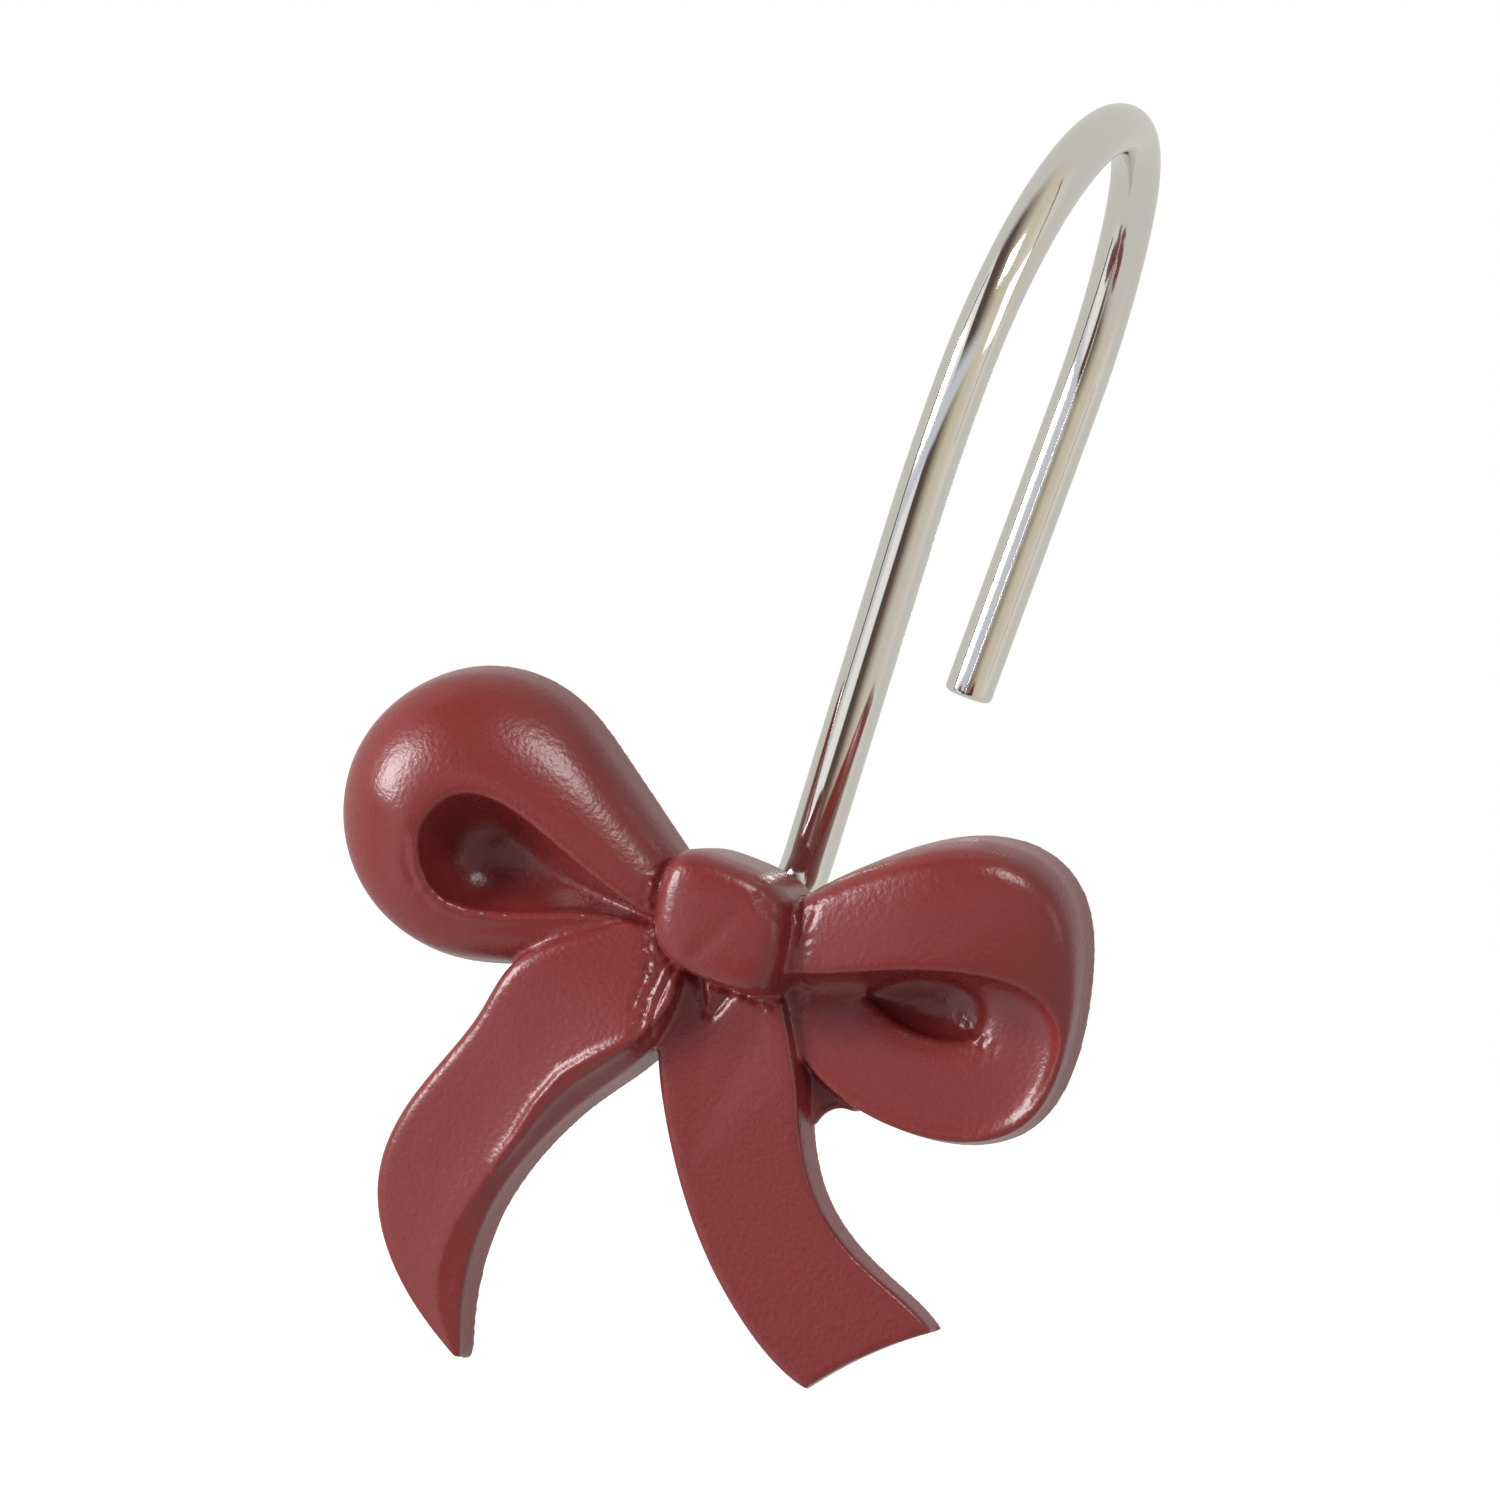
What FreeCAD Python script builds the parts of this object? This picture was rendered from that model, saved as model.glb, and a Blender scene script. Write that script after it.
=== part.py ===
import FreeCAD, Part
import math
import os

# A shower curtain hook: a ribbon bow, cast in resin with a flat back, on a cane of round plated wire.
# The frame is the hook's own, as it hangs. X runs to the right, Y runs away from the viewer, Z is up,
# and the origin is the spot inside the top of the bend that sits on the curtain rod.
# The bow is drawn about the middle of its knot, on its flat back. There x is to the right, z is up,
# and depth is how far a point stands out of the back, towards the viewer.
# Lengths are in millimetres and angles in degrees. Shares are parts of the named length beside them.

# The wire: it leaves a blind socket in the bow's back, turns up, and hooks over the rod
wire_d = 3.0
wire_x = 1.0
end_round = 0.35
socket_depth = 4.5
socket_clearance = 0.05
stub_gap = 0.5
lower_bend_r = 3.6
leg_lean = 14.0
leg_length = 20.9
free_leg = 19.3

# The bend over the rod, as four arcs that run into each other: each one's radius and turn
shoulder_r = 40.0
shoulder_turn = 14.0
crown_r = 16.6
crown_turn = 85.0
heel_r = 11.3
heel_turn = 58.5
return_r = 21.6
return_turn = 34.2

# The whole casting: the height of its upright walls, how far they lean out towards the back, and how
# deep the rounding of a tail's edge is
wall_h = 1.9
draft = 0.25
edge_drop = 0.9

# The knot: a rounded square cushion, whose sides lean a little to the left
knot_width = 8.6
knot_height = 7.3
knot_depth = 7.9
knot_lean = 0.18
knot_squareness = 3.2

# The left loop: a round pad drawn in to the knot, with a drop-shaped hollow in it
left_r = 8.6
left_reach = 17.0
left_rise = 0.2
left_tip = 1.2
left_spread = 15.0
left_crest = 6.6
left_low_crest = 4.5
left_near_crest = 5.2
left_tucked_crest = 3.2
rim_drop = 0.35
hollow_length = 15.5
hollow_width = 6.6
hollow_tip = (-3.2, -1.6)
hollow_tilt = 1.3
hollow_taper = 3.2
hollow_nose = 0.3
hollow_floor = 1.6

# The right loop: its outline as shares of its length and its span, and the front edge of the ribbon,
# whose depth is a share of the crest, as is that of the band above it. Below that edge the ribbon turns
# back, as a dish with a lip.
right_length = 21.2
right_span = 18.6
right_crest = 6.8
right_outline = [(0.06, 0.05), (0.29, 0.34), (0.52, 0.535), (0.74, 0.565), (0.885, 0.45), (0.955, 0.24),
                 (1.0, -0.01), (0.98, -0.25), (0.82, -0.395), (0.57, -0.43), (0.34, -0.375), (0.12, -0.18)]
right_edge = [(0.12, -0.11, 0.74), (0.31, -0.04, 0.86), (0.50, 0.07, 0.94), (0.71, 0.15, 0.92),
              (0.87, 0.16, 0.76), (0.95, 0.08, 0.52)]
band_crests = [0.85, 0.93, 1.0, 0.97, 0.82, 0.58]
lip_width = 0.3
lip_depth = 2.4
lip_rise = [1.45, 1.12, 1.0, 1.0, 0.95, 0.95]
pit_middle = (12.0, -0.6)
pit_length = 7.6
pit_rise = 2.15
pit_fall = 1.7
pit_slant = 0.2
pit_edge = 2.3
pit_floor = 0.9
dish_rise = 0.25

# The left tail: its outer and inner edges, as shares of its sweep and its drop, from the knot to the
# tip, and how far across from the outer edge the fold in it runs
left_sweep = 15.6
left_drop = 29.9
left_outer = [(0.12, 0.02), (0.41, 0.07), (0.79, 0.22), (0.77, 0.35), (0.98, 0.57), (1.0, 0.76),
              (0.76, 0.92), (0.43, 1.01)]
left_inner = [(0.08, 0.23), (0.15, 0.33), (0.32, 0.44), (0.44, 0.57), (0.51, 0.70), (0.51, 0.82),
              (0.47, 0.93), (0.41, 1.01)]
fold_share = [0.66, 0.85, 0.86, 0.92, 0.9, 0.78, 0.64, 0.5]
outer_fall = [0.3, 0.2, 0.3, 0.5, 0.5, 0.45, 0.35, 0.2]
inner_fall = [1.0, 1.6, 1.9, 1.2, 0.4, 0.15, 0.12, 0.12]
fold_depth = 4.9
fold_slope = 0.11

# The right tail: its edges, as shares of its reach and its drop, from the knot to past its hollow end
right_reach = 20.0
right_drop = 24.1
right_inner = [(-0.15, -0.02), (-0.15, 0.22), (-0.08, 0.39), (0.02, 0.54), (0.17, 0.72), (0.395, 0.90),
               (0.78, 1.07)]
right_outer = [(0.12, -0.03), (0.21, 0.14), (0.33, 0.28), (0.40, 0.43), (0.50, 0.56), (0.70, 0.67),
               (1.13, 0.75)]
right_corners = [(0.63, 1.035), (1.01, 0.715)]
right_tail_depth = 3.9
right_slope = 0.085
end_hollow_r = 26.0

# The thin web that the mould leaves in the notch between the right loop and the right tail
notch = (9.75, -9.55)
notch_r = 1.6
web_depth = 0.9
web_outline = [(0.1, 0.1), (1.1, 0.6), (1.06, 0.78), (1.0, 0.9), (0.8, 1.0), (0.5, 0.85)]

V = FreeCAD.Vector
wire_r = wire_d / 2
ring_count = 24
ring_angles = [2 * math.pi * i / ring_count for i in range(ring_count)]


def spot(x, z, depth):
    return V(x, -depth, z)


def net_solid(rows):
    """The solid under a smooth skin on a net of control points. Each row of the net is a closed ring.
    The first row, in the middle of the front, and the last, round the back, each lie in one plane."""
    around = len(rows[0])
    across = len(rows)
    poles = [[spot(*row[i]) for row in rows] for i in range(around)]
    u_knots = [float(i) for i in range(around + 1)]
    v_knots = [float(i) for i in range(across - 1)]
    v_counts = [3] + [1] * (across - 3) + [3]
    skin = Part.BSplineSurface()
    skin.buildFromPolesMultsKnots(poles, [1] * (around + 1), v_counts, u_knots, v_knots, True, False, 3, 2)
    faces = [skin.toShape()]
    for v in (v_knots[0], v_knots[-1]):
        faces.append(Part.Face(Part.Wire([skin.vIso(v).toShape()])))
    shell = Part.makeShell(faces)
    shell.sewShape()
    solid = Part.Solid(shell)
    if solid.Volume < 0:
        solid.reverse()
    return solid


def level(points, depth):
    return [(p[0], p[1], depth) for p in points]


def between(inner, outer, share):
    """The ring that lies a share of the way from one ring to another, point by point."""
    return [(p[0] + (q[0] - p[0]) * share, p[1] + (q[1] - p[1]) * share) for p, q in zip(inner, outer)]


def drawn_in(points, middle, share):
    return [(middle[0] + (p[0] - middle[0]) * share, middle[1] + (p[1] - middle[1]) * share) for p in points]


def outset(points, grow):
    """A ring with each point moved outwards by grow, square to the line between its neighbours."""
    count = len(points)
    area = sum(points[i - 1][0] * points[i][1] - points[i][0] * points[i - 1][1] for i in range(count))
    out = grow * math.copysign(1.0, area)
    moved = []
    for i in range(count):
        before = points[i - 1]
        after = points[(i + 1) % count]
        dx = after[0] - before[0]
        dz = after[1] - before[1]
        size = math.hypot(dx, dz)
        moved.append((points[i][0] + dz / size * out, points[i][1] - dx / size * out))
    return moved


def turned(x, z, angle):
    c = math.cos(math.radians(angle))
    s = math.sin(math.radians(angle))
    return x * c - z * s, x * s + z * c


def shoulder(share, start):
    """How much of its height a pad keeps at a share of the way out: all of it up to start, then as
    the side of an ellipse, down to none at the edge."""
    past = max((share - start) / (1 - start), 0.0)
    return math.sqrt(1 - past ** 2)


def knot():
    rows = []
    for share, rise in ((0.3, 1.0), (0.6, 0.995), (0.84, 0.95), (0.97, 0.82), (1.0, 0.6), (1.0, 0.0)):
        row = []
        for a in ring_angles:
            c = math.cos(a)
            s = math.sin(a)
            x = knot_width / 2 * share * math.copysign(abs(c) ** (2 / knot_squareness), c)
            z = knot_height / 2 * share * math.copysign(abs(s) ** (2 / knot_squareness), s)
            row.append((x - z * knot_lean, z, knot_depth * rise))
        rows.append(row)
    return net_solid(rows)


def left_outline(grow=0.0):
    """A circle with a line drawn to the knot from each side, and the lower line spread away a little."""
    r = left_r + grow
    tip_reach = left_reach - left_tip
    touch = math.acos(r / tip_reach)
    points = []
    for a in ring_angles:
        off = a if a < math.pi else max(2 * math.pi - a - math.radians(left_spread), 0.0)
        ray = r / math.cos(touch - off) if off < touch else r
        points.append((-left_reach + ray * math.cos(a), left_rise + ray * math.sin(a)))
    return points


def hollow_outline():
    """A drop: its width is the sine of the angle round it, thinned towards the tip by a power of the
    distance from the tip, with a small round nose added all the way round."""
    widest = (hollow_taper + 1) / (hollow_taper + 2)
    most = 2 * math.sqrt(widest * (1 - widest)) * widest ** (hollow_taper / 2)
    points = []
    for a in ring_angles:
        along = -hollow_length * (1 - math.cos(a)) / 2 + hollow_nose * math.cos(a)
        thin = abs(math.sin(a / 2)) ** hollow_taper / most
        across = (hollow_width / 2 * thin + hollow_nose) * math.sin(a)
        x, z = turned(along, across, hollow_tilt)
        points.append((hollow_tip[0] + x, hollow_tip[1] + z))
    return points


def left_crests():
    """The depth of the left loop's crest at each point round it: most at the top and the far end, less
    underneath and at the knot, and least where the tail lies over it."""
    depths = []
    for a in ring_angles:
        under = max(-math.sin(a), 0.0) ** 0.7
        near = ((1 + math.cos(a)) / 2) ** 2
        depth = left_crest + (left_low_crest - left_crest) * under
        tuck = max(-math.sin(a), 0.0) ** 0.5
        near_depth = left_near_crest + (left_tucked_crest - left_near_crest) * tuck
        depths.append(depth + (near_depth - depth) * near)
    return depths


def left_loop():
    outer = left_outline()
    inner = hollow_outline()
    crests = left_crests()
    middle = (hollow_tip[0] - hollow_length * 0.76, hollow_tip[1])
    rows = [level(drawn_in(inner, middle, 0.35), hollow_floor),
            level(drawn_in(inner, middle, 0.6), hollow_floor)]
    for share, rise in ((0.86, 0.3), (0.97, 0.75), (1.0, 0.95)):
        ring = drawn_in(inner, middle, share)
        depths = [hollow_floor + (top - rim_drop - hollow_floor) * rise for top in crests]
        rows.append([(p[0], p[1], depth) for p, depth in zip(ring, depths)])
    for share in (0.03, 0.1, 0.3, 0.55, 0.8, 0.95):
        ring = between(inner, outer, share)
        keep = shoulder(share, 0.45)
        drop = rim_drop * max(1 - share / 0.3, 0.0)
        rows.append([(p[0], p[1], wall_h + (top - drop - wall_h) * keep) for p, top in zip(ring, crests)])
    rows.append(level(outer, wall_h))
    rows.append(level(left_outline(draft), 0.0))
    return net_solid(rows)


def right_loop():
    outer = [(x * right_length, z * right_span) for x, z in right_outline]
    inset = outset(outer, -lip_width)
    rim = [(x * right_length, z * right_span, depth * right_crest) for x, z, depth in right_edge]
    for p, rise in zip(inset[len(rim):], lip_rise):
        rim.append((p[0], p[1], lip_depth * rise))
    pit = []
    for i in range(len(outer)):
        a = math.pi - 2 * math.pi * i / len(outer)
        x = pit_length / 2 * math.cos(a)
        z = pit_rise * math.sin(a) + pit_slant * x if a > 0 else pit_fall * math.sin(a)
        pit.append((pit_middle[0] + x, pit_middle[1] + z, pit_edge))
    crests = [right_crest * share for share in band_crests] + [p[2] for p in rim[len(band_crests):]]
    under = []
    dish = []
    for p, q, crest in zip(pit, rim, crests):
        dish.append(between([p], [q], 0.85)[0] + (p[2] + (q[2] - p[2]) * dish_rise,))
        under.append(between([p], [q], 0.97)[0] + (q[2] - (lip_width if crest > q[2] else lip_width / 10),))
    rows = [level(drawn_in(pit, pit_middle, 0.5), pit_floor),
            level(drawn_in(pit, pit_middle, 0.8), pit_floor), pit, dish, under, rim]
    for share in (0.12, 0.4, 0.7, 0.92):
        keep = shoulder(share, 0.4)
        depths = [wall_h + (crest - wall_h) * keep for crest in crests]
        rows.append([p + (depth,) for p, depth in zip(between(rim, outer, share), depths)])
    rows.append(level(outer, wall_h))
    rows.append(level(outset(outer, draft), 0.0))
    return net_solid(rows)


def left_tail():
    outer = [(-x * left_sweep, -z * left_drop) for x, z in left_outer]
    inner = [(-x * left_sweep, -z * left_drop) for x, z in left_inner]
    fold = [(p[0] + (q[0] - p[0]) * s, p[1] + (q[1] - p[1]) * s) for p, q, s in zip(outer, inner, fold_share)]
    edge = outer + inner[::-1]
    crest = fold + fold[::-1]
    falls = outer_fall + inner_fall[::-1]
    rows = []
    for share, part, drop in ((0.04, 0.0, 0.0), (0.1, 0.05, 0.0), (0.3, 0.35, 0.0), (0.75, 0.8, 0.0),
                              (0.95, 1.0, 0.0), (1.0, 1.0, edge_drop)):
        row = []
        for (x, z), fall in zip(between(crest, edge, share), falls):
            row.append((x, z, fold_depth + fold_slope * (z - fold[1][1]) - fall * part - drop))
        rows.append(row)
    rows.append(level(outset(edge, draft), 0.0))
    return net_solid(rows)


def right_tail():
    inner = [(x * right_reach, -z * right_drop) for x, z in right_inner]
    outer = [(x * right_reach, -z * right_drop) for x, z in right_outer]
    edge = inner + outer[::-1]
    rows = []
    for grow, fall in ((-0.9, 0.0), (-0.4, 0.0), (-0.1, 0.05), (0.0, 0.35), (0.05, edge_drop)):
        rows.append([(x, z, right_tail_depth + right_slope * z - fall) for x, z in outset(edge, grow)])
    rows.append(level(outset(edge, draft), 0.0))
    corners = [spot(x * right_reach, -z * right_drop, 0.0) for x, z in right_corners]
    chord = corners[1] - corners[0]
    out = V(chord.z, 0, -chord.x).normalize()
    middle = (corners[0] + corners[1]) / 2
    centre = middle + out * math.sqrt(end_hollow_r ** 2 - (chord.Length / 2) ** 2)
    behind = centre + V(0, right_tail_depth, 0)
    cutter = Part.makeCylinder(end_hollow_r, 3 * right_tail_depth, behind, V(0, -1, 0))
    return net_solid(rows).cut(cutter)


def web():
    corners = [spot(x * notch[0], z * notch[1], 0.0) for x, z in web_outline]
    plate = Part.Face(Part.makePolygon(corners + corners[:1])).extrude(V(0, -web_depth, 0))
    bite = Part.makeCylinder(notch_r, 3 * web_depth, spot(*notch, -web_depth), V(0, -1, 0))
    return plate.cut(bite)


def bow():
    casting = knot().fuse([left_loop(), right_loop(), left_tail(), right_tail(), web()])
    hole_r = wire_r + socket_clearance
    hole = Part.makeCylinder(hole_r, 2 * socket_depth, spot(wire_x, 0.0, socket_depth), V(0, 1, 0))
    return casting.cut(hole)


def heading_vector(heading):
    """The direction of a heading in the wire's upright plane: 0 is up and 90 is backwards."""
    a = math.radians(heading)
    return V(0, math.sin(a), math.cos(a))


def bend(start, heading, radius, turn):
    """An arc that goes on smoothly from a heading, turning by turn degrees: its edge and its end."""
    side = math.copysign(1.0, turn)
    centre = start + heading_vector(heading + 90 * side) * radius
    stops = [centre - heading_vector(heading + part + 90 * side) * radius for part in (turn / 2, turn)]
    return Part.Arc(start, stops[0], stops[1]).toShape(), stops[1]


def wire_hook():
    """The bent wire, and the spot inside its top that sits on the rod."""
    start = spot(wire_x, 0.0, socket_depth)
    here = start + heading_vector(90.0) * (socket_depth + stub_gap)
    edges = [Part.makeLine(start, here)]
    heading = 90.0
    seat = here
    bends = [(lower_bend_r, -90.0 - leg_lean, leg_length), (shoulder_r, shoulder_turn, 0.0),
             (crown_r, crown_turn, 0.0), (heel_r, heel_turn, 0.0), (return_r, return_turn, free_leg)]
    for radius, turn, straight in bends:
        if heading < 90.0 <= heading + turn:
            seat = here + heading_vector(heading + 90.0) * radius + V(0, 0, radius - wire_r)
        edge, here = bend(here, heading, radius, turn)
        edges.append(edge)
        heading += turn
        if straight:
            far = here + heading_vector(heading) * straight
            edges.append(Part.makeLine(here, far))
            here = far
    path = Part.Wire(edges)
    section = Part.Wire([Part.makeCircle(wire_r, start, V(0, 1, 0))])
    wire = path.makePipeShell([section], True, False)
    rim = [edge for edge in wire.Edges if (edge.CenterOfMass - here).Length < wire_r / 4]
    wire = wire.makeFillet(end_round, rim)
    return wire, seat


os.makedirs("parts", exist_ok=True)
hook, seat = wire_hook()
for name, shape in (("bow_ornament", bow()), ("wire_hook", hook)):
    shape.translate(seat * -1)
    shape.exportStep("parts/" + name + ".step")
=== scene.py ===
# %% [markdown]
# # A shower curtain hook: a satin ribbon bow on a cane of polished wire
#
# The real object is two things. The bow is one casting with a flat back, painted in a satin burgundy. The
# hook is one length of plated wire, bent over the rod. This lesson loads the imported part, lays finer skins
# over the same forms, and lights them as a product photograph is lit.

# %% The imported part
import math

import bpy
import numpy as np
from mathutils import Matrix, Vector


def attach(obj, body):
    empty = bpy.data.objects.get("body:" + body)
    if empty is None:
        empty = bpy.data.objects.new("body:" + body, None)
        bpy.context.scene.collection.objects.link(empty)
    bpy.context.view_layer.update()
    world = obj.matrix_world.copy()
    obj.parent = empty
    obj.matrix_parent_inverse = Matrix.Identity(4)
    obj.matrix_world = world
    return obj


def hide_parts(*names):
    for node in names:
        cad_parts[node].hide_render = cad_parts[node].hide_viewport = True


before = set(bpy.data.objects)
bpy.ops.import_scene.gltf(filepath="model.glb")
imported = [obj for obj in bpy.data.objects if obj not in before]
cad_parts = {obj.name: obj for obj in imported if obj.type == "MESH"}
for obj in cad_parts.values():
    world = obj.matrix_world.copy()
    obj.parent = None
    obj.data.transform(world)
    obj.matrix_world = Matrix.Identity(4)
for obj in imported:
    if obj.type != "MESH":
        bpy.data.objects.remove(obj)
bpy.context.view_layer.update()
print("nodes:", sorted(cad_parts))

# %% [markdown]
# ## Lengths and the bow's own plane
#
# Everything below is worked out in millimetres and becomes metres only when a mesh is made. The bow is drawn
# about the middle of its knot, on its flat back: x to the right, z up, and depth towards the viewer. One
# function takes such points to the hook's own frame, whose origin is where the rod touches the wire.

# %% Millimetres, and the place of the knot
MM = 0.001
KNOT_MIDDLE = np.array([-1.0, -13.8868, -49.5068])


def in_frame(points):
    """Points (x, z, depth) on the bow, as (x, -depth, z) moved to the knot's place, in millimetres."""
    points = np.asarray(points, float)
    return np.stack([points[..., 0], -points[..., 2], points[..., 1]], axis=-1) + KNOT_MIDDLE


# %% [markdown]
# ## A skin on a net
#
# A cast ribbon has no flat faces and no true arcs. A skin that hangs on a few control points gives such forms
# with few numbers. Round each ring of the net the skin is a periodic cubic spline, and from ring to ring it
# is a quadratic spline that starts at the first ring and ends at the last. Both are sums of weights times
# control points, so a whole skin is two matrix products.

# %% Spline weights and the closed skin
TINY = 1e-12


def spline_weights(t, knots, degree):
    """The weight of each control point at each t: the Cox-de Boor rule, from steps up to the degree."""
    t = np.asarray(t, float)[:, None]
    knots = np.asarray(knots, float)
    last = knots[-1]
    at_last = (knots[1:] == last) & (t == last) & (knots[:-1] < last)
    w = ((t >= knots[:-1]) & ((t < knots[1:]) | at_last)) * 1.0
    for k in range(1, degree + 1):
        rise = np.maximum(knots[k:-1] - knots[:-k - 1], TINY)
        fall = np.maximum(knots[k + 1:] - knots[1:-k], TINY)
        w = (t - knots[:-k - 1]) / rise * w[:, :-1] + (knots[k + 1:] - t) / fall * w[:, 1:]
    return w


def ring_faces(rings, around):
    """Quads between each ring of vertices and the next, and a lid on the first ring and on the last."""
    i, j = np.meshgrid(np.arange(rings - 1), np.arange(around), indexing="ij")
    k = (j + 1) % around
    quads = np.stack([i * around + j, i * around + k, (i + 1) * around + k, (i + 1) * around + j], -1)
    lids = [list(range(around)), list(range((rings - 1) * around, rings * around))[::-1]]
    return quads.reshape(-1, 4).tolist() + lids


def net_skin(rows, around=240, steps=7):
    """A closed skin on a net of rings, as vertices (x, z, depth) and faces. Formula: point(u, v) = sum of
    cubic weight(u) times quadratic weight(v) times control point."""
    net = np.array(rows, float)
    across, ring = net.shape[0], net.shape[1]
    u = np.arange(around) / around * ring
    cubic = spline_weights(u, np.arange(-3, ring + 4), 3)
    cubic = cubic[:, :ring] + np.pad(cubic[:, ring:], ((0, 0), (0, 2 * ring - cubic.shape[1])))
    v = np.linspace(0, across - 2, (across - 2) * steps + 1)
    square = spline_weights(v, [0, 0] + list(range(across - 1)) + [across - 2] * 2, 2)
    points = np.einsum("ua,vb,bac->vuc", cubic, square, net).reshape(-1, 3)
    return points, ring_faces(len(v), around)


# %% [markdown]
# ## Small tools for drawing rings
#
# Every net below is made of the same few moves: angles all the way round, a share of the way from one ring
# to another, a ring grown outwards, and a ring laid at a depth.

# %% Rings
def ring_of(count=24):
    """Angles all the way round, at even steps."""
    return 2 * np.pi * np.arange(count) / count


def between(inner, outer, share):
    """What lies at a share of the way from inner to outer."""
    return inner + (outer - inner) * share


def outset(points, grow):
    """A ring with each point moved outwards by grow, square to the line between its two neighbours."""
    before, after = np.roll(points, 1, 0), np.roll(points, -1, 0)
    d = after - before
    d /= np.linalg.norm(d, axis=1)[:, None]
    area = np.sum(before[:, 0] * points[:, 1] - points[:, 0] * before[:, 1])
    return points + np.stack([d[:, 1], -d[:, 0]], -1) * grow * np.sign(area)


def row(points, depth):
    """Flat points (x, z) as one row of a net, at one depth or at a depth for each."""
    return np.column_stack([points, np.broadcast_to(depth, len(points))])


def upright(outline, low, high):
    """A block with straight walls over an outline, from one depth to another, as a closed skin."""
    return np.vstack([row(outline, high), row(outline, low)]), ring_faces(2, len(outline))


def disc(middle, radius, low, high, count=96):
    """A round block: middle plus radius times the cosine and sine of the angle."""
    a = ring_of(count)
    return upright(np.stack([middle[0] + radius * np.cos(a), middle[1] + radius * np.sin(a)], -1), low, high)


def turned(x, z, degrees):
    """Points turned about the origin: x times cosine minus z times sine, x times sine plus z times cosine."""
    c, s = math.cos(math.radians(degrees)), math.sin(math.radians(degrees))
    return np.stack([x * c - z * s, x * s + z * c], -1)


def shoulder(share, start):
    """The height that a pad keeps at a share of the way out: full to start, then an ellipse's side."""
    return math.sqrt(1 - max((share - start) / (1 - start), 0.0) ** 2)


def signed_power(value, power):
    """The value's size raised to a power, with the value's sign."""
    return np.sign(value) * np.abs(value) ** power


# %% [markdown]
# ## The knot
#
# The knot is the short piece of ribbon that wraps the middle. It is a cushion with rounded corners, a little
# turned. A superellipse gives the outline: the cosine and sine of the angle, each raised to a small power.
# Each form stands on a short wall with a little draft, as a casting has to leave its mould.

# %% The knot's net
WALL_H, DRAFT = 1.9, 0.25
KNOT_ACROSS, KNOT_UP, KNOT_DEPTH = 4.3, 3.65, 7.9
KNOT_POWER, KNOT_LEAN = 2 / 3.2, 0.18
# Each ring: its share of the outline, and its share of the depth.
KNOT_RINGS = [(0.3, 1.0), (0.6, 0.995), (0.84, 0.95), (0.97, 0.82), (1.0, 0.6), (1.0, 0.0)]


def knot_ring(share):
    """A superellipse at a share of its full size, leaning left by a share of its height."""
    a = ring_of()
    up = KNOT_UP * signed_power(np.sin(a), KNOT_POWER)
    across = KNOT_ACROSS * signed_power(np.cos(a), KNOT_POWER) - KNOT_LEAN * up
    return np.stack([across, up], -1) * share


def knot():
    """Rings that grow outwards and fall away from the depth at the middle."""
    return net_skin([row(knot_ring(share), KNOT_DEPTH * rise) for share, rise in KNOT_RINGS])


print("knot's outline, mm:", np.ptp(knot_ring(1.0), axis=0).round(1).tolist())


# %% [markdown]
# ## The left loop
#
# This loop is seen from its side: a fat round pad, drawn in to the knot, with a drop-shaped hollow where one
# looks into the ribbon. The outline is a circle with two straight lines to the knot. The hollow's outline is
# a drop: the sine of the angle, thinned towards the tip. The skin runs from the hollow's floor up its steep
# wall, over the pad, and down the outer wall.

# %% The left loop's net
LOOP_AROUND = 300
LEFT_R, LEFT_OUT, LEFT_UP = 8.6, 17.0, 0.2
TANGENTS_MEET, LOWER_SPREAD = 1.2, math.radians(15.0)
LEFT_CREST, LEFT_LOW, LEFT_NEAR, LEFT_TUCKED = 6.6, 4.7, 5.2, 3.2
HOLLOW_TIP = np.array([-3.2, -1.6])
HOLLOW_LONG, HOLLOW_WIDE, HOLLOW_GROW = 15.5, 3.3, 0.3
HOLLOW_TAPER, HOLLOW_TILT = 3.2, 1.3
HOLLOW_FLOOR, HOLLOW_MIDDLE = 1.2, 0.76
RIM_DROP, RIM_WIDTH, LOW_RIM_WIDTH, PAD_START = 0.25, 0.12, 0.2, 0.12
# Each ring of the hollow: its share of the outline, and how far up it lies between floor and rim.
HOLLOW_RINGS = [(0.1, 0.0), (0.25, 0.0), (0.5, 0.08), (0.72, 0.24), (0.88, 0.5), (0.97, 0.8), (1.0, 0.96)]
PAD_RINGS = [0.02, 0.07, 0.22, 0.5, 0.75, 0.93]


def left_outline(grow=0.0):
    """A circle with a tangent on each side to a point near the knot, the lower one spread. The ray from the
    circle's middle is the radius, or on a tangent the radius over the cosine of the angle from its touch."""
    a = ring_of()
    r = LEFT_R + grow
    touch = math.acos(r / (LEFT_OUT - TANGENTS_MEET))
    off = np.where(a < np.pi, a, np.maximum(2 * np.pi - a - LOWER_SPREAD, 0.0))
    ray = np.where(off < touch, r / np.cos(touch - np.minimum(off, touch)), r)
    return np.stack([-LEFT_OUT + ray * np.cos(a), LEFT_UP + ray * np.sin(a)], -1)


def hollow_outline():
    """Along: minus the cosine of the angle. Across: the sine, times a power of the sine of half the angle."""
    a = ring_of()
    widest = (HOLLOW_TAPER + 1) / (HOLLOW_TAPER + 2)
    most = 2 * math.sqrt(widest * (1 - widest)) * widest ** (HOLLOW_TAPER / 2)
    along = -HOLLOW_LONG * (1 - np.cos(a)) / 2 + HOLLOW_GROW * np.cos(a)
    across = (HOLLOW_WIDE * np.abs(np.sin(a / 2)) ** HOLLOW_TAPER / most + HOLLOW_GROW) * np.sin(a)
    return turned(along, across, HOLLOW_TILT) + HOLLOW_TIP


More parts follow.
